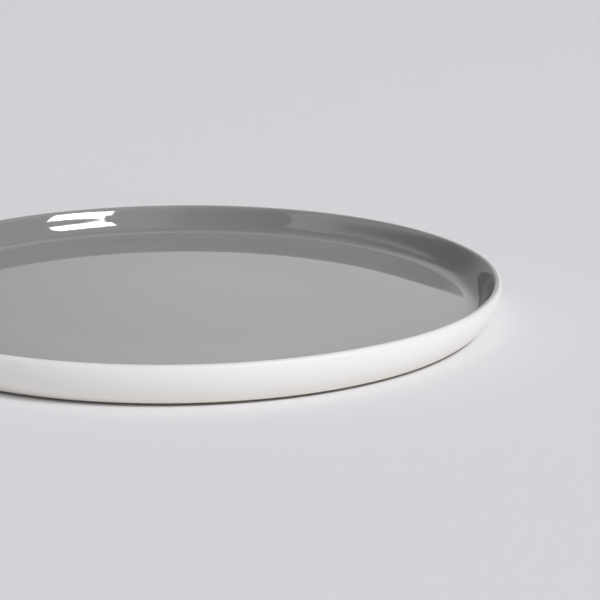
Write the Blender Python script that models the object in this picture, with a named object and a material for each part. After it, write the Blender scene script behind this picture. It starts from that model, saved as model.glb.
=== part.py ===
"""Dessert plate: a low coupe of white porcelain, bare and matt outside, its well lined with gloss grey glaze.

Both solids are turned about +Z from one section of the plate. The plate stands on z = 0, on its foot ring.
"""

import math

import bmesh
import bpy
import numpy as np

# Floor, which is level at the foot of the cove and dishes down to its middle; depth and thickness are at the level ring
PLATE_DIAMETER = 0.200
WELL_DEPTH = 0.00895
FLOOR_THICKNESS = 0.00265
FLOOR_DISH = 0.0005
DISH_WIDTH = 0.040
LEVEL_RING = 0.009

# Cove, which tightens from its foot to its knee at this slope
COVE_FOOT_RADIUS = 0.0085
COVE_KNEE_RADIUS = 0.0034
COVE_TURN_SLOPE = math.radians(28)

# Inner wall, with its slope at the cove, along its steepest line and at the rim
WALL_FOOT_SLOPE = math.radians(50)
STEEPEST_SLOPE = math.radians(63)
WALL_TOP_SLOPE = math.radians(56)
WALL_LOWER_SHARE = 0.55

# Rim, round from the inner wall over its crest to the outer wall
RIM_THICKNESS = 0.0024

# Outer wall, which curves under from upright at the rim to this turn at the heel
HEEL_TURN = math.radians(57)
HEEL_ROUND = 0.0008
HEEL_CLEARANCE = 0.0007

# Foot ring and the recessed base inside it
FOOT_INSET = 0.0036
FOOT_WIDTH = 0.0030
FOOT_HEIGHT = 0.0010
FOOT_ROUND = 0.0003

# Glaze, which thins from the top of the cove to its edge just inside the crest of the rim
GLAZE_THICKNESS = 0.00040
GLAZE_EDGE_THICKNESS = 0.00012
GLAZE_EDGE_SLOPE = math.radians(8)
GLAZE_CLEARANCE = 0.00005

# Fineness of the turned surfaces
TURNED_SEGMENTS = 92
ARC_STEP = math.radians(14)
DISH_STEPS = 4
WALL_STEPS = 4
SHARP_ANGLE = math.radians(32)

# Colours as linear RGB, with each surface's roughness
PORCELAIN_FINISH = ((0.78, 0.77, 0.75, 1.0), 0.60)
GLAZE_FINISH = ((0.235, 0.240, 0.235, 1.0), 0.06)


def remove_scene_objects():
    for thing in list(bpy.data.objects):
        bpy.data.objects.remove(thing)


def arc_slopes(start, end):
    """Angles from start to end, at most ARC_STEP apart."""
    return np.linspace(start, end, math.ceil(abs(end - start) / ARC_STEP) + 1)


def facing(slope):
    """Unit direction that the well's surface faces where it slopes up by this angle from the level floor."""
    return np.stack([-np.sin(slope), np.cos(slope)], axis=-1)


def bend(start, radius, slopes):
    """Points along an arc from start, whose slope runs through these angles; a negative radius is a crest."""
    return start + radius * (facing(slopes[0]) - facing(slopes))


def dished_floor(edge):
    """Points of the floor from the axis to its level ring, with their slopes; the dish is a smooth step in radius."""
    share = np.linspace(0, 1, DISH_STEPS + 1)
    inner = edge[0] - LEVEL_RING - DISH_WIDTH
    rise = FLOOR_DISH * (share**2 * (3 - 2 * share) - 1)
    points = np.stack([inner + share * DISH_WIDTH, edge[1] + rise], axis=-1)
    slopes = np.arctan(FLOOR_DISH / DISH_WIDTH * 6 * share * (1 - share))
    return np.concatenate([[[0, edge[1] - FLOOR_DISH]], points]), np.concatenate([[0], slopes])


def inner_wall(start, height):
    """Points up the inner wall, with their slopes, which fall off by the square of the way from the steepest line."""
    finer = 8
    way = np.linspace(-1, 1, finer * WALL_STEPS + 1)
    fall = STEEPEST_SLOPE - np.where(way < 0, WALL_FOOT_SLOPE, WALL_TOP_SLOPE)
    slopes = STEEPEST_SLOPE - fall * way**2
    middle = (slopes[1:] + slopes[:-1]) / 2
    length = np.where(way[:-1] < 0, WALL_LOWER_SHARE, 1 - WALL_LOWER_SHARE)
    steps = length[:, None] * np.stack([np.cos(middle), np.sin(middle)], axis=-1)
    steps *= height / steps[:, 1].sum()
    points = start + np.concatenate([[[0, 0]], np.cumsum(steps, axis=0)])
    return points[::finer], slopes[::finer]


def well_surface(section):
    """Points of the glazed surface from the axis to the glaze's edge, their slopes, and where the wall starts."""
    foot = arc_slopes(0, COVE_TURN_SLOPE)
    knee = arc_slopes(COVE_TURN_SLOPE, WALL_FOOT_SLOPE)[1:]
    rim = arc_slopes(WALL_TOP_SLOPE, GLAZE_EDGE_SLOPE)[1:]

    # Drawn outward from the cove's foot, then moved so that the wall's top meets the rim.
    foot_points = bend(np.zeros(2), COVE_FOOT_RADIUS, foot)
    knee_points = bend(foot_points[-1], COVE_KNEE_RADIUS, np.concatenate([foot[-1:], knee]))[1:]
    rim_points = section["rim_centre"] + section["rim_round"] * facing(rim)
    wall_top = section["rim_centre"] + section["rim_round"] * facing(WALL_TOP_SLOPE)
    floor_height = section["rim_centre"][1] + section["rim_round"] - WELL_DEPTH
    wall_points, wall = inner_wall(knee_points[-1], wall_top[1] - floor_height - knee_points[-1, 1])
    cove = np.concatenate([foot_points, knee_points, wall_points[1:]])
    cove += wall_top - cove[-1]
    floor_points, floor = dished_floor(cove[0])
    points = np.concatenate([floor_points, cove, rim_points])
    slopes = np.concatenate([floor, foot, knee, wall[1:], rim])
    wall_start = len(floor_points) + len(foot) + len(knee) - 1
    return points, slopes, wall_start


def plate_section():
    """Lengths and arc centres of the plate's section, as (radius, height) from the axis and the table."""
    rim_round = RIM_THICKNESS / 2
    height = FOOT_HEIGHT + FLOOR_THICKNESS + GLAZE_CLEARANCE + GLAZE_THICKNESS + WELL_DEPTH
    rim_centre = np.array([PLATE_DIAMETER / 2 - rim_round, height - rim_round])

    # The outer wall starts upright beside the rim's centre and ends where the heel's round takes over.
    wall_drop = rim_centre[1] - HEEL_CLEARANCE - HEEL_ROUND * (1 - math.sin(HEEL_TURN))
    wall_radius = wall_drop / math.sin(HEEL_TURN)
    wall_centre = np.array([PLATE_DIAMETER / 2 - wall_radius, rim_centre[1]])
    heel_reach = (wall_radius - HEEL_ROUND) * np.array([math.cos(HEEL_TURN), -math.sin(HEEL_TURN)])
    return {
        "rim_round": rim_round,
        "rim_centre": rim_centre,
        "wall_radius": wall_radius,
        "wall_centre": wall_centre,
        "heel_centre": wall_centre + heel_reach,
    }


def glaze_depths(points, wall_start):
    """Thickness of the glaze at each point of the well, full to the cove's top and thinning to the edge."""
    travelled = np.concatenate([[0], np.cumsum(np.linalg.norm(np.diff(points, axis=0), axis=1))])
    return np.interp(
        travelled,
        [travelled[wall_start], travelled[-1]],
        [GLAZE_THICKNESS, GLAZE_EDGE_THICKNESS],
    )


def glaze_outline(section):
    """The glaze's section: out along its gloss face and back along the face fused to the porcelain."""
    points, slopes, wall_start = well_surface(section)
    under = points - glaze_depths(points, wall_start)[:, None] * facing(slopes)
    return np.concatenate([points, under[::-1]])


def rim_and_wall(section):
    """The porcelain from the glaze's edge over the rim, down the outer wall and round the heel."""
    bare_from = GLAZE_EDGE_SLOPE - GLAZE_CLEARANCE / section["rim_round"]
    crest = arc_slopes(bare_from, 0)
    rim = facing(np.concatenate([crest, arc_slopes(0, -math.pi / 2)[1:]]))
    wall = facing(-math.pi / 2 - arc_slopes(0, HEEL_TURN)[1:])
    heel = facing(-math.pi / 2 - arc_slopes(HEEL_TURN, math.pi / 2)[1:])
    ledge_depth = GLAZE_EDGE_THICKNESS + GLAZE_CLEARANCE
    return np.concatenate([
        [section["rim_centre"] + (section["rim_round"] - ledge_depth) * rim[0]],
        section["rim_centre"] + section["rim_round"] * rim,
        section["wall_centre"] + section["wall_radius"] * wall,
        section["heel_centre"] + HEEL_ROUND * heel,
    ])


def foot_and_base(section):
    """The low foot ring with eased edges, and the recessed base as far as the axis."""
    outer = section["heel_centre"][0] - FOOT_INSET
    inner = outer - FOOT_WIDTH
    return np.array([
        [outer, HEEL_CLEARANCE],
        [outer, FOOT_ROUND],
        [outer - FOOT_ROUND, 0],
        [inner + FOOT_ROUND, 0],
        [inner, FOOT_ROUND],
        [inner, FOOT_HEIGHT],
        [0, FOOT_HEIGHT],
    ])


def body_outline(section):
    """The porcelain's section, from the middle of its floor over the rim to the middle of its base."""
    points, slopes, wall_start = well_surface(section)
    bed = points - (glaze_depths(points, wall_start) + GLAZE_CLEARANCE)[:, None] * facing(slopes)
    return np.concatenate([bed, rim_and_wall(section), foot_and_base(section)])


def make_material(name, finish):
    colour, roughness = finish
    material = bpy.data.materials.new(name)
    material.use_nodes = True
    shader = material.node_tree.nodes["Principled BSDF"]
    shader.inputs["Base Color"].default_value = colour
    shader.inputs["Roughness"].default_value = roughness
    shader.inputs["Metallic"].default_value = 0.0
    material.diffuse_color = colour
    return material


def turn(name, outline, material):
    """One solid, turned about +Z from a section that starts and ends on the axis."""
    shape = bmesh.new()
    verts = [shape.verts.new((radius, 0, height)) for radius, height in outline]
    edges = [shape.edges.new(pair) for pair in zip(verts, verts[1:])]
    bmesh.ops.spin(
        shape,
        geom=verts + edges,
        cent=(0, 0, 0),
        axis=(0, 0, 1),
        angle=2 * math.pi,
        steps=TURNED_SEGMENTS,
        use_merge=True,
    )
    # The turned copies of the two ends on the axis coincide, and become one point each.
    bmesh.ops.remove_doubles(shape, verts=shape.verts, dist=float(np.finfo(np.float32).eps))
    bmesh.ops.recalc_face_normals(shape, faces=shape.faces)
    mesh = bpy.data.meshes.new(name)
    shape.to_mesh(mesh)
    shape.free()
    mesh.shade_smooth()
    mesh.set_sharp_from_angle(angle=SHARP_ANGLE)
    mesh.materials.append(material)
    solid = bpy.data.objects.new(name, mesh)
    bpy.context.scene.collection.objects.link(solid)
    return solid


def main():
    remove_scene_objects()
    section = plate_section()
    porcelain = make_material("bare_porcelain", PORCELAIN_FINISH)
    glaze = make_material("grey_glaze", GLAZE_FINISH)
    body = turn("porcelain_body", body_outline(section), porcelain)
    lining = turn("grey_glaze_lining", glaze_outline(section), glaze)
    lining.parent = body


main()
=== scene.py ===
import math

import bpy
import numpy as np
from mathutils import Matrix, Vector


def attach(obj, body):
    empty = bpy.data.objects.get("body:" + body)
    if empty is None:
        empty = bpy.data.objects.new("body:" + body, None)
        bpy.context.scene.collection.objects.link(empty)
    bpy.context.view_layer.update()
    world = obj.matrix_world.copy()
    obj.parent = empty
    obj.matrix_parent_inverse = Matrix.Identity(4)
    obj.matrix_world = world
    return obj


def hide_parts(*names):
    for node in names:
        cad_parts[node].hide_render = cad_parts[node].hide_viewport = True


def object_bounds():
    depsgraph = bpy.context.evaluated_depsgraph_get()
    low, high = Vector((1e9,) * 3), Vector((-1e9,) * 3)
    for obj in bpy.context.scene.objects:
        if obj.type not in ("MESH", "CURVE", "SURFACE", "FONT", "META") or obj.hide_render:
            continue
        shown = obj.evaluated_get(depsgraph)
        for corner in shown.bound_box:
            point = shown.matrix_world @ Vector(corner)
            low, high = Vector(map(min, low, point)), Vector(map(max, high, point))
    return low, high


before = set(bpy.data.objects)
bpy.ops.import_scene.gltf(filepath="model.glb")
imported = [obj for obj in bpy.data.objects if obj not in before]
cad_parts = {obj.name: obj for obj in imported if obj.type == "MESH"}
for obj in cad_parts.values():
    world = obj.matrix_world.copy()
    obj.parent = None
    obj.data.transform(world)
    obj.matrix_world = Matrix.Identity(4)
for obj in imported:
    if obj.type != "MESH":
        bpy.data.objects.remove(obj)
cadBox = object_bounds()
mm = 0.001
print("frame loaded:", sorted(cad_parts))

# One turned section gives both pieces: its overall sizes come from the frame, the rest is the plate's own.
plate = {
    "radius": min(cadBox[1].x, -cadBox[0].x, cadBox[1].y, -cadBox[0].y),
    "height": cadBox[1].z,
    "wellDepth": 8.95 * mm,             # to the level ring at the foot of the cove
    "dish": 0.45 * mm,                  # how much lower the middle of the floor lies
    "dishSpan": (42 * mm, 75 * mm),     # radii between which the floor rises
    "runUp": math.radians(2.5),         # slope that it has gained where the cove starts
    "runUpFrom": 74.5 * mm,
    "coveFoot": 8.5 * mm,               # the cove tightens from this radius to the next
    "coveKnee": 3.4 * mm,
    "coveSlope": math.radians(28),      # slope where one passes into the other
    "lowKnee": math.radians(50),        # slope of the inner wall where it meets the cove
    "steepest": math.radians(63),       # slope along its steepest line
    "topKnee": math.radians(56),        # slope where it meets the rim
    "lowerShare": 0.55,                 # part of the wall that lies below its steepest line
    "rimRound": 1.2 * mm,
    "heelTurn": math.radians(57),       # how far the outer wall has curved under at the heel
    "heelRound": 0.8 * mm,
    "heelClearance": 0.7 * mm,          # above the table
    "footInset": 3.6 * mm,
    "footWidth": 3.0 * mm,
    "footHeight": 1.0 * mm,
    "footRound": 0.3 * mm,
    "baseInset": 2.0 * mm,              # the base's rows start this far inside the foot ring
}

# Points round the axis, and rows along each stretch of the section
fineness = {
    "around": 480,
    "floor": 48,
    "floorSpacing": 0.6,                # power of even steps, so rows lie closer together towards the cove
    "coveFoot": 16,
    "coveKnee": 12,
    "wall": 37,
    "glazedRim": 20,
    "bareRim": 26,
    "outerWall": 48,
    "heel": 12,
    "footCorner": 6,
    "base": 12,
}

# The glaze coat and the wandering line at which it stops on the rim
coat = {
    "thickness": 0.4 * mm,
    "edge": 0.12 * mm,
    "taper": 8.5 * mm,                  # way from its edge over which it thins
    "gap": 0.05 * mm,                   # clear of the body, as in the frame
    "stopInside": math.radians(4),      # slope of the rim where the glaze stops, just inside the crest
    "stopOver": math.radians(-24),      # along one stretch it has run over the crest
    "stretchMiddle": math.radians(-15),
    "stretchHalf": (math.radians(22), math.radians(46)),
    "wander": math.radians(1.2),
    "waves": ((5, 0), (11, 1), (19, 2)),  # times round the rim, each with its start in radians
    "bareBand": 0.5 * mm,               # the coat is so thin there that the body shows through
    "paleBand": 2.6 * mm,               # and as far as this it still shows a little
    "paleShare": 0.26,
    "gatherSpan": (89 * mm, 94 * mm),   # it lies thicker from here outwards, in the cove and on the wall
}


def facing(slope):
    # unit normal of the well where it slopes up by this angle: leans in by sine, up by cosine
    return np.stack([-np.sin(slope), np.cos(slope)], axis=-1)


def ease(value, start, end):
    # smooth cubic step from 0 at start to 1 at end
    t = np.clip((value - start) / (end - start), 0, 1)
    return t * t * (3 - 2 * t)


def allRound(points):
    # the same points of the section at every angle round the axis
    return np.repeat(points[:, None], fineness["around"], axis=1)


def rimCentre():
    # centre of the rim's round, one radius in from the outermost line and down from the topmost
    return np.array([plate["radius"], plate["height"]]) - plate["rimRound"]


def wellLine():
    # from the axis to the top of the inner wall: (radius, height) and slope. Each step of the cove and the
    # wall follows the mean slope of its ends. The slope runs evenly along the cove's two arcs, and on the
    # wall it eases off by the square of the way from the steepest line. The wall takes up the depth left.
    t = np.linspace(-1, 1, fineness["wall"])
    foot = np.linspace(plate["runUp"], plate["coveSlope"], fineness["coveFoot"])
    knee = np.linspace(plate["coveSlope"], plate["lowKnee"], fineness["coveKnee"])
    easeOff = plate["steepest"] - np.where(t < 0, plate["lowKnee"], plate["topKnee"])
    wall = plate["steepest"] - easeOff * t ** 2
    slopes = np.concatenate([foot, knee[1:], wall[1:]])
    middle = (slopes[1:] + slopes[:-1]) / 2
    share = np.where(t[1:] <= 0, plate["lowerShare"], 1 - plate["lowerShare"])
    steps = np.concatenate([plate["coveFoot"] * np.diff(foot), plate["coveKnee"] * np.diff(knee), share])
    wallFrom = len(foot) + len(knee) - 2
    rises = steps * np.sin(middle)
    rimRise = plate["rimRound"] * (1 - math.cos(plate["topKnee"]))
    depthLeft = plate["wellDepth"] - rimRise - rises[:wallFrom].sum()
    steps[wallFrom:] *= depthLeft / rises[wallFrom:].sum()
    run = np.cumsum(steps[:, None] * np.stack([np.cos(middle), np.sin(middle)], axis=-1), axis=0)
    top = rimCentre() + plate["rimRound"] * facing(plate["topKnee"])
    upper = np.concatenate([[[0, 0]], run]) + top - run[-1]

    # the floor is a smooth step in radius down to its middle, and before the cove it sags by a square less a
    # cube of the way, which ends in the run-up's slope
    radius = upper[0, 0] * np.linspace(0, 1, fineness["floor"])[:-1] ** fineness["floorSpacing"]
    reach = upper[0, 0] - plate["runUpFrom"]
    v = np.clip((radius - plate["runUpFrom"]) / reach, 0, 1)
    dish = plate["dish"] * (1 - ease(radius, *plate["dishSpan"]))
    sag = dish + math.tan(plate["runUp"]) * reach * (v ** 2 - v ** 3)
    floor = np.stack([radius, upper[0, 1] - sag], axis=-1)
    floorSlopes = np.arctan(np.gradient(floor[:, 1], radius))
    return np.concatenate([floor, upper]), np.concatenate([floorSlopes, slopes])


def stopSlopes():
    # slope of the rim at which the glaze stops, at each angle: a smooth step between two values by the cosine
    # of the angle from the stretch's middle, and a wander of three sine waves
    angle = np.linspace(0, 2 * math.pi, fineness["around"], endpoint=False)
    full, end = np.cos(coat["stretchHalf"])
    over = ease(np.cos(angle - coat["stretchMiddle"]), end, full)
    waves = sum(np.sin(times * angle + start) for times, start in coat["waves"])
    return coat["stopInside"] + (coat["stopOver"] - coat["stopInside"]) * over + coat["wander"] * waves


def glazeFaces():
    # gloss face from the axis to the glaze's edge, its normals, the depths below it, and each point's way to
    # the edge; the rim is an arc from the wall's top to the edge, and the coat thins evenly along the surface
    points, slopes = wellLine()
    stop = stopSlopes()
    rimSlopes = np.linspace(np.full_like(stop, plate["topKnee"]), stop, fineness["glazedRim"])[1:]
    rim = rimCentre() + plate["rimRound"] * facing(rimSlopes)
    along = np.concatenate([[0], np.cumsum(np.linalg.norm(np.diff(points, axis=0), axis=1))])
    rimLength = plate["rimRound"] * (plate["topKnee"] - stop)
    wellToEdge = (along[-1] - along)[:, None] + rimLength
    toEdge = np.concatenate([wellToEdge, plate["rimRound"] * (rimSlopes - stop)])
    depth = np.interp(toEdge, [0, coat["taper"]], [coat["edge"], coat["thickness"]])
    normals = np.concatenate([allRound(facing(slopes)), facing(rimSlopes)])
    return np.concatenate([allRound(points), rim]), normals, depth, toEdge


def everyThird(count):
    # hidden faces need fewer rows than the gloss face above them
    return np.r_[0:count - 1:3, count - 1]


def glazeSection():
    # out along the gloss face and back along the face fused to the porcelain; the coat shows thin by a smooth
    # step beside its edge or a fainter square fall-off further in, and gathered by a smooth step in radius
    points, normals, depth, toEdge = glazeFaces()
    pick = everyThird(len(points))[::-1]
    under = points - depth[..., None] * normals
    rows = np.concatenate([points, under[pick]])
    way = np.concatenate([toEdge, toEdge[pick]])
    bare = 1 - ease(way, 0, coat["bareBand"])
    pale = coat["paleShare"] * (1 - np.clip(way / coat["paleBand"], 0, 1)) ** 2
    gather = ease(rows[..., 0], *coat["gatherSpan"])
    return rows, {"glazeThin": np.maximum(bare, pale), "glazeGather": gather}


def roundCorner(before, corner, after):
    # eased corner of two straight stretches, as a quadratic blend of its two tangent points
    a = corner + plate["footRound"] * (before - corner) / np.linalg.norm(before - corner)
    b = corner + plate["footRound"] * (after - corner) / np.linalg.norm(after - corner)
    t = np.linspace(0, 1, fineness["footCorner"])[:, None]
    return (1 - t) ** 2 * a + 2 * t * (1 - t) * corner + t ** 2 * b


def outside():
    # outer wall as an arc from upright beside the rim's centre, the heel's small arc, the foot ring, the base
    rim = rimCentre()
    drop = rim[1] - plate["heelClearance"] - plate["heelRound"] * (1 - math.sin(plate["heelTurn"]))
    wallRadius = drop / math.sin(plate["heelTurn"])
    wall = np.array([plate["radius"] - wallRadius, rim[1]])
    heel = wall + (wallRadius - plate["heelRound"]) * facing(-math.pi / 2 - plate["heelTurn"])
    under = -math.pi / 2 - np.linspace(0, plate["heelTurn"], fineness["outerWall"])[1:]
    turnIn = -math.pi / 2 - np.linspace(plate["heelTurn"], math.pi / 2, fineness["heel"])[1:]
    footOut = heel[0] - plate["footInset"]
    footIn = footOut - plate["footWidth"]
    corners = np.array([
        [heel[0], plate["heelClearance"]],
        [footOut, plate["heelClearance"]],
        [footOut, 0],
        [footIn, 0],
        [footIn, plate["footHeight"]],
        [0, plate["footHeight"]],
    ])
    foot = [roundCorner(*corners[i - 1:i + 2]) for i in range(1, len(corners) - 1)]
    baseRadius = np.linspace(footIn - plate["baseInset"], 0, fineness["base"])
    base = np.stack([baseRadius, np.full_like(baseRadius, plate["footHeight"])], axis=-1)
    return np.concatenate([
        wall + wallRadius * facing(under),
        heel + plate["heelRound"] * facing(turnIn),
        *foot,
        base,
    ])


def bodySection():
    # bed under the glaze, ledge at its edge, bare rim, and the outside as far as the axis; the way out is
    # measured along the outline from the ledge
    points, normals, depth, toEdge = glazeFaces()
    bed = (points - (depth + coat["gap"])[..., None] * normals)[everyThird(len(points))]
    bareFrom = stopSlopes() - coat["gap"] / plate["rimRound"]
    bare = np.linspace(bareFrom, np.full_like(bareFrom, -math.pi / 2), fineness["bareRim"])
    ledge = rimCentre() + (plate["rimRound"] - coat["edge"] - coat["gap"]) * facing(bare[:1])
    rim = rimCentre() + plate["rimRound"] * facing(bare)
    rows = np.concatenate([bed, ledge, rim, allRound(outside())])
    steps = np.linalg.norm(np.diff(rows[len(bed):], axis=0), axis=-1)
    wayOut = np.concatenate([np.zeros_like(toEdge[:len(bed) + 1]), np.cumsum(steps, axis=0)])
    return rows, {"wayOut": wayOut / mm}


def turned(name, rows, attributes):
    # surface of revolution: each row's radius and height at every angle round the axis, with the two ends as
    # single points on it
    count = rows.shape[1]
    angle = np.linspace(0, 2 * math.pi, count, endpoint=False)
    radius, height = rows[1:-1, :, 0], rows[1:-1, :, 1]
    ring = np.stack([radius * np.cos(angle), radius * np.sin(angle), height], axis=-1).reshape(-1, 3)
    verts = np.concatenate([[[0, 0, rows[0, 0, 1]]], ring, [[0, 0, rows[-1, 0, 1]]]])
    here = np.arange(count)
    after = (here + 1) % count
    start = 1 + np.arange(len(radius) - 1)[:, None] * count
    quads = np.stack([start + here, start + count + here, start + count + after, start + after], axis=-1)
    quads = quads.reshape(-1, 4)
    first = np.stack([np.zeros_like(here), 1 + here, 1 + after], axis=-1)
    lastRow = 1 + (len(radius) - 1) * count
    last = np.stack([lastRow + here, np.full_like(here, len(verts) - 1), lastRow + after], axis=-1)
    mesh = bpy.data.meshes.new(name)
    mesh.from_pydata(verts, [], first.tolist() + quads.tolist() + last.tolist())
    mesh.shade_smooth()
    for key, values in attributes.items():
        perVert = np.concatenate([values[0, :1], values[1:-1].ravel(), values[-1, :1]])
        layer = mesh.attributes.new(key, "FLOAT", "POINT")
        layer.data.foreach_set("value", perVert.astype(np.float32))
    piece = bpy.data.objects.new(name, mesh)
    bpy.context.scene.collection.objects.link(piece)
    print(name, "has", 2 * len(quads) + len(first) + len(last), "triangles")
    return piece


def linear(hexColour):
    # sRGB hex to linear RGBA
    c = np.array([int(hexColour[i:i + 2], 16) for i in (1, 3, 5)]) / 255
    return (*np.where(c <= 0.04045, c / 12.92, ((c + 0.055) / 1.055) ** 2.4), 1.0)


def addNode(tree, kind, links=None, **settings):
    # one node: keywords set its properties, links maps an input to a value or to another node's output
    node = tree.nodes.new(kind)
    for key, value in settings.items():
        setattr(node, key, value)
    for key, value in (links or {}).items():
        if isinstance(value, bpy.types.NodeSocket):
            tree.links.new(value, node.inputs[key])
        else:
            node.inputs[key].default_value = value
    return node


def newMaterial(name):
    material = bpy.data.materials.new(name)
    material.use_nodes = True
    material.node_tree.nodes.clear()
    return material, material.node_tree


def perMm(size):
    # texture scale that makes one feature about this many millimetres wide
    return 1 / (size * mm)


# Hard white porcelain, biscuit fired and rubbed smooth: matt, close-grained and a little warm where it turns
# under. The pad leaves faint rings, and the rim is rubbed smoothest; its band is also painted a little
# darker, as painted shade that tones down the bright crest. The foot ring and the strip between it and the
# heel are ground flat, so they stay dull, and they are painted much darker and browner as painted shade in
# the gap under the heel.
porcelain = {
    "colour": "#f5f4f2",
    "warmColour": "#f6f2ea",
    # painted shade: the rim band is a little darker than the body, to tone down the bright crest
    "rimShadeColour": "#eeedeb",
    # painted shade: a dark brown-grey for the foot ring and the strip under the heel, where the gap lies in
    # shadow
    "groundShadeColour": "#aa9c86",
    "ior": 1.5,
    "roughness": (0.55, 0.64),
    "rimRoughness": 0.42,
    "groundRoughness": 0.85,
    "cloudSize": 26.0,          # mm
    "cloudSpan": (0.35, 0.7),   # of the noise
    "cloudShare": 0.25,         # how far a cloud goes to the warm colour
    "ringSpacing": 1.3,         # mm, drawn coarser than the pad's own scratches
    "ringSpan": (0.3, 0.7),     # of the noise
    "ringStrength": 0.12,
    "grainSize": 0.7,           # mm, drawn coarser than the body's grain, which would not show
    "grainStrength": 0.15,
    "relief": 0.04,             # mm, of the rings and of the grain
    "rimBand": (0.5, 2.2),      # mm from the glaze's edge
    "warmSpan": (0.7, 7.0),     # mm above the table
    "groundSpan": (0.71, 0.8),  # mm above the table
}


def bisquePorcelain():
    material, tree = newMaterial("bisquePorcelainRubbed")
    place = addNode(tree, "ShaderNodeTexCoord").outputs["Object"]
    height = addNode(tree, "ShaderNodeSeparateXYZ", {0: place}).outputs["Z"]
    wayOut = addNode(tree, "ShaderNodeAttribute", attribute_name="wayOut").outputs["Fac"]
    clouds = addNode(tree, "ShaderNodeTexNoise", {
        "Vector": place,
        "Scale": perMm(porcelain["cloudSize"]),
        "Detail": 3.0,
    })
    grain = addNode(tree, "ShaderNodeTexNoise", {
        "Vector": place,
        "Scale": perMm(porcelain["grainSize"]),
        "Detail": 2.0,
    })
    rings = addNode(tree, "ShaderNodeTexNoise", {
        "W": wayOut,
        "Scale": 1 / porcelain["ringSpacing"],
        "Detail": 3.0,
    }, noise_dimensions="1D")

    # where it is warm, where the rim is rubbed and painted with shade, and where it is ground flat and
    # painted with the shade of the gap under the heel
    warmth = addNode(tree, "ShaderNodeMapRange", {
        "Value": height,
        "From Min": porcelain["warmSpan"][1] * mm,
        "From Max": porcelain["warmSpan"][0] * mm,
    }, interpolation_type="SMOOTHSTEP")
    cloudy = addNode(tree, "ShaderNodeMapRange", {
        "Value": clouds.outputs["Fac"],
        "From Min": porcelain["cloudSpan"][0],
        "From Max": porcelain["cloudSpan"][1],
        "To Max": porcelain["cloudShare"],
    })
    warm = addNode(tree, "ShaderNodeMath", {
        0: warmth.outputs["Result"],
        1: cloudy.outputs["Result"],
    }, operation="MAXIMUM")
    rim = addNode(tree, "ShaderNodeMapRange", {
        "Value": wayOut,
        "From Min": porcelain["rimBand"][1],
        "From Max": porcelain["rimBand"][0],
    }, interpolation_type="SMOOTHSTEP")
    groundAndShade = addNode(tree, "ShaderNodeMapRange", {
        "Value": height,
        "From Min": porcelain["groundSpan"][1] * mm,
        "From Max": porcelain["groundSpan"][0] * mm,
    })

    body = addNode(tree, "ShaderNodeMix", {
        "Factor": warm.outputs[0],
        "A": linear(porcelain["colour"]),
        "B": linear(porcelain["warmColour"]),
    }, data_type="RGBA")
    # painted shade on the rim band: it mixes towards the darker rim colour
    rimShaded = addNode(tree, "ShaderNodeMix", {
        "Factor": rim.outputs["Result"],
        "A": body.outputs["Result"],
        "B": linear(porcelain["rimShadeColour"]),
    }, data_type="RGBA")
    # painted shade in the gap under the heel: the ground strip and the foot ring mix to the dark shade colour
    colour = addNode(tree, "ShaderNodeMix", {
        "Factor": groundAndShade.outputs["Result"],
        "A": rimShaded.outputs["Result"],
        "B": linear(porcelain["groundShadeColour"]),
    }, data_type="RGBA")

    matt = addNode(tree, "ShaderNodeMapRange", {
        "Value": rings.outputs["Fac"],
        "From Min": porcelain["ringSpan"][0],
        "From Max": porcelain["ringSpan"][1],
        "To Min": porcelain["roughness"][0],
        "To Max": porcelain["roughness"][1],
    })
    smoother = addNode(tree, "ShaderNodeMix", {
        "Factor": rim.outputs["Result"],
        "A": matt.outputs["Result"],
        "B": porcelain["rimRoughness"],
    })
    roughness = addNode(tree, "ShaderNodeMix", {
        "Factor": groundAndShade.outputs["Result"],
        "A": smoother.outputs["Result"],
        "B": porcelain["groundRoughness"],
    })

    ringBump = addNode(tree, "ShaderNodeBump", {
        "Height": rings.outputs["Fac"],
        "Strength": porcelain["ringStrength"],
        "Distance": porcelain["relief"] * mm,
    })
    grainBump = addNode(tree, "ShaderNodeBump", {
        "Height": grain.outputs["Fac"],
        "Strength": porcelain["grainStrength"],
        "Distance": porcelain["relief"] * mm,
        "Normal": ringBump.outputs["Normal"],
    })
    shader = addNode(tree, "ShaderNodeBsdfPrincipled", {
        "Base Color": colour.outputs["Result"],
        "Roughness": roughness.outputs["Result"],
        "IOR": porcelain["ior"],
        "Normal": grainBump.outputs["Normal"],
    })
    addNode(tree, "ShaderNodeOutputMaterial", {"Surface": shader.outputs["BSDF"]})
    return material


# Gloss grey glaze, sprayed and fired: a hard clear gloss over a softly clouded grey, deeper where the coat
# gathers in the cove and on the wall, paler towards its thin edge. It levels as it melts, which leaves a very
# slow ripple.
glaze = {
    "floorColour": "#999a9c",
    "wallColour": "#8a8d8a",
    "cloudColour": "#929596",
    "thinColour": "#d9d7d3",
    "ior": 1.55,
    "roughness": (0.03, 0.05),
    "roughnessSpan": (0.3, 0.7),  # of the cloud noise
    "cloudSize": 16.0,            # mm
    "fleckSize": 1.1,             # mm
    "cloudSpan": (0.15, 0.4),     # of the two noises together
    "cloudShare": 0.3,            # how far a cloud goes to its own colour
    "rippleSize": 11.0,           # mm
    "rippleStrength": 0.05,
    "rippleRelief": 0.1,          # mm
}


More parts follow.
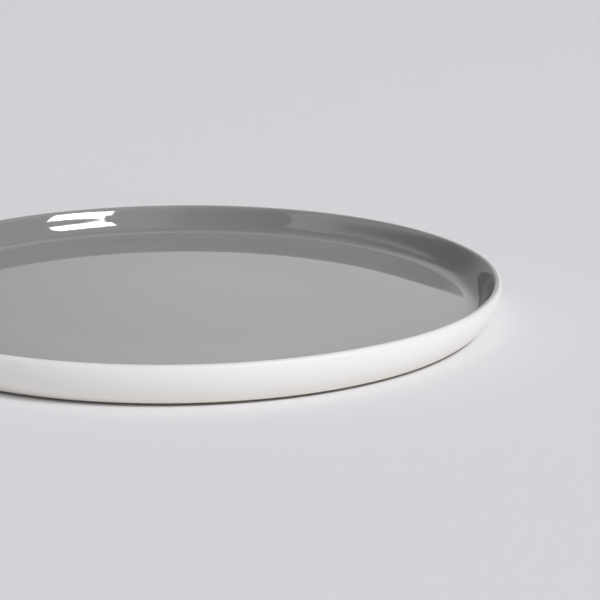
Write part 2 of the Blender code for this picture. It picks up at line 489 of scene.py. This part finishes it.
def glossGlaze():
    material, tree = newMaterial("glossGreyGlazeFired")
    place = addNode(tree, "ShaderNodeTexCoord").outputs["Object"]
    thin = addNode(tree, "ShaderNodeAttribute", attribute_name="glazeThin").outputs["Fac"]
    gather = addNode(tree, "ShaderNodeAttribute", attribute_name="glazeGather").outputs["Fac"]
    clouds = addNode(tree, "ShaderNodeTexNoise", {
        "Vector": place,
        "Scale": perMm(glaze["cloudSize"]),
        "Detail": 4.0,
    })
    flecks = addNode(tree, "ShaderNodeTexNoise", {
        "Vector": place,
        "Scale": perMm(glaze["fleckSize"]),
        "Detail": 2.0,
    })
    ripple = addNode(tree, "ShaderNodeTexNoise", {
        "Vector": place,
        "Scale": perMm(glaze["rippleSize"]),
    })

    # grey of the coat, its clouds and its thin edge
    coatTone = addNode(tree, "ShaderNodeMix", {
        "Factor": gather,
        "A": linear(glaze["floorColour"]),
        "B": linear(glaze["wallColour"]),
    }, data_type="RGBA")
    both = addNode(tree, "ShaderNodeMath", {
        0: clouds.outputs["Fac"],
        1: flecks.outputs["Fac"],
    }, operation="MULTIPLY")
    cloudy = addNode(tree, "ShaderNodeMapRange", {
        "Value": both.outputs[0],
        "From Min": glaze["cloudSpan"][0],
        "From Max": glaze["cloudSpan"][1],
        "To Max": glaze["cloudShare"],
    })
    clouded = addNode(tree, "ShaderNodeMix", {
        "Factor": cloudy.outputs["Result"],
        "A": coatTone.outputs["Result"],
        "B": linear(glaze["cloudColour"]),
    }, data_type="RGBA")
    colour = addNode(tree, "ShaderNodeMix", {
        "Factor": thin,
        "A": clouded.outputs["Result"],
        "B": linear(glaze["thinColour"]),
    }, data_type="RGBA")

    roughness = addNode(tree, "ShaderNodeMapRange", {
        "Value": clouds.outputs["Fac"],
        "From Min": glaze["roughnessSpan"][0],
        "From Max": glaze["roughnessSpan"][1],
        "To Min": glaze["roughness"][0],
        "To Max": glaze["roughness"][1],
    })
    bump = addNode(tree, "ShaderNodeBump", {
        "Height": ripple.outputs["Fac"],
        "Strength": glaze["rippleStrength"],
        "Distance": glaze["rippleRelief"] * mm,
    })
    shader = addNode(tree, "ShaderNodeBsdfPrincipled", {
        "Base Color": colour.outputs["Result"],
        "Roughness": roughness.outputs["Result"],
        "IOR": glaze["ior"],
        "Normal": bump.outputs["Normal"],
    })
    addNode(tree, "ShaderNodeOutputMaterial", {"Surface": shader.outputs["BSDF"]})
    return material


def makePlate():
    body = turned("porcelainBody", *bodySection())
    body.data.materials.append(bisquePorcelain())
    lining = turned("greyGlazeLining", *glazeSection())
    lining.data.materials.append(glossGlaze())
    pieces = (
        (body, "porcelain_body", "bare_porcelain"),
        (lining, "grey_glaze_lining", "grey_glaze"),
    )
    for piece, node, slot in pieces:
        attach(piece, "root")
        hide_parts(node)
    print("plate pieces made")


camera = {
    "place": (37.95 * mm, -644.5 * mm, 176.2 * mm),
    "pitch": 14.906,  # degrees down
    "roll": 0.1323,   # degrees
    "lens": 128.89,   # mm
    "sensor": 36,     # mm
}


def makeCamera():
    data = bpy.data.cameras.new("camera")
    data.lens = camera["lens"]
    data.sensor_width = camera["sensor"]
    eye = bpy.data.objects.new("camera", data)
    eye.location = camera["place"]
    eye.rotation_mode = "ZYX"  # roll first, about the line of sight
    eye.rotation_euler = (math.radians(90 - camera["pitch"]), 0, math.radians(camera["roll"]))
    bpy.context.scene.collection.objects.link(eye)
    bpy.context.scene.camera = eye
    print("camera placed")


stage = {
    "floorColour": "#efeff2",
    "roughness": 0.9,
    "specular": 0.1,
    "floorReach": 4.0,  # m to each side
}


def makeStage():
    reach = stage["floorReach"]
    corners = [(-reach, -reach, 0), (reach, -reach, 0), (reach, reach, 0), (-reach, reach, 0)]
    mesh = bpy.data.meshes.new("tableTop")
    mesh.from_pydata(corners, [], [(0, 1, 2, 3)])
    table = bpy.data.objects.new("tableTop", mesh)
    bpy.context.scene.collection.objects.link(table)
    material, tree = newMaterial("paleTable")
    shader = addNode(tree, "ShaderNodeBsdfPrincipled", {
        "Base Color": linear(stage["floorColour"]),
        "Roughness": stage["roughness"],
        "Specular IOR Level": stage["specular"],
    })
    addNode(tree, "ShaderNodeOutputMaterial", {"Surface": shader.outputs["BSDF"]})
    table.data.materials.append(material)
    print("stage made")


# The softbox stands upright, high to the right and in front. One lower corner is cut, so it is two panels
# side by side, each with its middle, height and width in metres.
light = {
    "panels": (
        ((6.141, -5.295, 7.955), 2.56, 3.744),
        ((4.525, -6.581, 8.27), 1.93, 0.388),
    ),
    "panelTurn": -51.5,                 # degrees
    "panelGlow": 29.0,                  # radiance
    "sky": 0.05,                        # glow where nothing stands
    "tint": (0.985, 0.975, 1.0, 1.0),
    "seen": "#d8d6d9",                  # what the camera sees past the table
}

# The rest of the studio: azimuth right of the camera and elevation, each as (middle, half width, softness of
# its edges) in degrees, then glow and glow in reflections. A fourth number tilts the elevation, in degrees
# per degree of azimuth. Later rows lie over earlier ones.
surroundings = [
    ((171, 21, 6), (0, 24, 6), 0.87, 0.87),               # pale wall behind the table
    ((180, 32, 14), (44, 26, 14), 0.85, 0.85),
    ((-108, 42, 4), (47, 23, 4), 0.19, 0.19),             # dim wall on the left, with a pale strip along it
    ((-112, 30, 12), (58, 12, 4), 0.55, 0.55),
    ((-92, 32, 6), (33.75, 4.25, 4.5, 0.235), 1.1, 1.1),
    ((-53, 18, 7), (36, 9.5, 2), 1.28, 1.28),             # white card before it, and a dark gap beside it
    ((-22.1, 26.1, 1.5), (42, 48, 4), 0.05, 0.05),
    ((33, 29, 9), (47, 23, 9), 0.68, 0.68),               # ceiling bounce on the right
    ((91, 29, 9), (47, 23, 9), 0.42, 0.42),
    ((-110, 42, 6), (6, 18, 6), 0.25, 0.25),              # foot of the left wall
    ((-157, 15, 7), (6, 18, 6), 0.5, 0.5),
    ((30, 90, 6), (5, 17, 6), 0.35, 1.0),                 # low light from the front and the right
    ((31, 34, 8), (5, 9, 8), 1.9, 1.0),
]


def within(tree, angle, middle, half, soft):
    # 1 within the span and 0 outside it, by the angle from its middle, with soft edges
    away = addNode(tree, "ShaderNodeMath", {0: angle, 1: middle}, operation="SUBTRACT")
    wrapped = addNode(tree, "ShaderNodeMath", {0: away.outputs[0], 1: 180.0, 2: -180.0}, operation="WRAP")
    off = addNode(tree, "ShaderNodeMath", {0: wrapped.outputs[0]}, operation="ABSOLUTE")
    mask = addNode(tree, "ShaderNodeMapRange", {
        "Value": off.outputs[0],
        "From Min": half + soft,
        "From Max": half - soft,
    }, interpolation_type="SMOOTHSTEP")
    return mask.outputs["Result"]


def tilted(tree, azimuth, elevation, middle, tilt):
    # elevation above a line that rises evenly with azimuth and crosses zero at the middle
    away = addNode(tree, "ShaderNodeMath", {0: azimuth, 1: middle}, operation="SUBTRACT")
    above = addNode(tree, "ShaderNodeMath", {
        0: away.outputs[0],
        1: -tilt,
        2: elevation,
    }, operation="MULTIPLY_ADD")
    return above.outputs[0]


def makeWorld():
    world = bpy.data.worlds.new("studio")
    bpy.context.scene.world = world
    world.use_nodes = True
    tree = world.node_tree
    tree.nodes.clear()
    path = addNode(tree, "ShaderNodeLightPath")

    # each ray's direction as azimuth and elevation in degrees
    way = addNode(tree, "ShaderNodeTexCoord")
    axis = addNode(tree, "ShaderNodeSeparateXYZ", {0: way.outputs["Generated"]})
    front = addNode(tree, "ShaderNodeMath", {0: axis.outputs["Y"], 1: -1.0}, operation="MULTIPLY")
    turn = addNode(tree, "ShaderNodeMath", {0: axis.outputs["X"], 1: front.outputs[0]}, operation="ARCTAN2")
    azimuth = addNode(tree, "ShaderNodeMath", {0: turn.outputs[0]}, operation="DEGREES").outputs[0]
    lift = addNode(tree, "ShaderNodeMath", {0: axis.outputs["Z"]}, operation="ARCSINE")
    elevation = addNode(tree, "ShaderNodeMath", {0: lift.outputs[0]}, operation="DEGREES").outputs[0]

    # each row's glow is mixed over that of the rows before it
    glow = light["sky"]
    for across, (middle, half, soft, *tilt), level, shown in surroundings:
        height = tilted(tree, azimuth, elevation, across[0], tilt[0]) if tilt else elevation
        mask = addNode(tree, "ShaderNodeMath", {
            0: within(tree, azimuth, *across),
            1: within(tree, height, middle, half, soft),
        }, operation="MULTIPLY")
        lamp = addNode(tree, "ShaderNodeMapRange", {
            "Value": path.outputs["Is Glossy Ray"],
            "To Min": level,
            "To Max": shown,
        })
        mix = addNode(tree, "ShaderNodeMix", {
            "Factor": mask.outputs[0],
            "A": glow,
            "B": lamp.outputs["Result"],
        })
        glow = mix.outputs["Result"]

    # the camera itself sees one plain tone past the table
    studio = addNode(tree, "ShaderNodeBackground", {"Color": light["tint"], "Strength": glow})
    plain = addNode(tree, "ShaderNodeBackground", {"Color": linear(light["seen"]), "Strength": 1.0})
    both = addNode(tree, "ShaderNodeMixShader", {
        0: path.outputs["Is Camera Ray"],
        1: studio.outputs[0],
        2: plain.outputs[0],
    })
    addNode(tree, "ShaderNodeOutputWorld", {"Surface": both.outputs[0]})


def makeLight():
    for middle, tall, wide in light["panels"]:
        data = bpy.data.lights.new("softbox", "AREA")
        data.shape = "RECTANGLE"
        data.size = tall
        data.size_y = wide
        data.energy = light["panelGlow"] * math.pi * tall * wide
        panel = bpy.data.objects.new("softbox", data)
        panel.location = middle
        panel.rotation_euler = (0, math.pi / 2, math.radians(light["panelTurn"]))
        bpy.context.scene.collection.objects.link(panel)
    makeWorld()
    print("lights set")


makePlate()
makeCamera()
makeStage()
makeLight()
bpy.context.scene.view_settings.view_transform = "Standard"
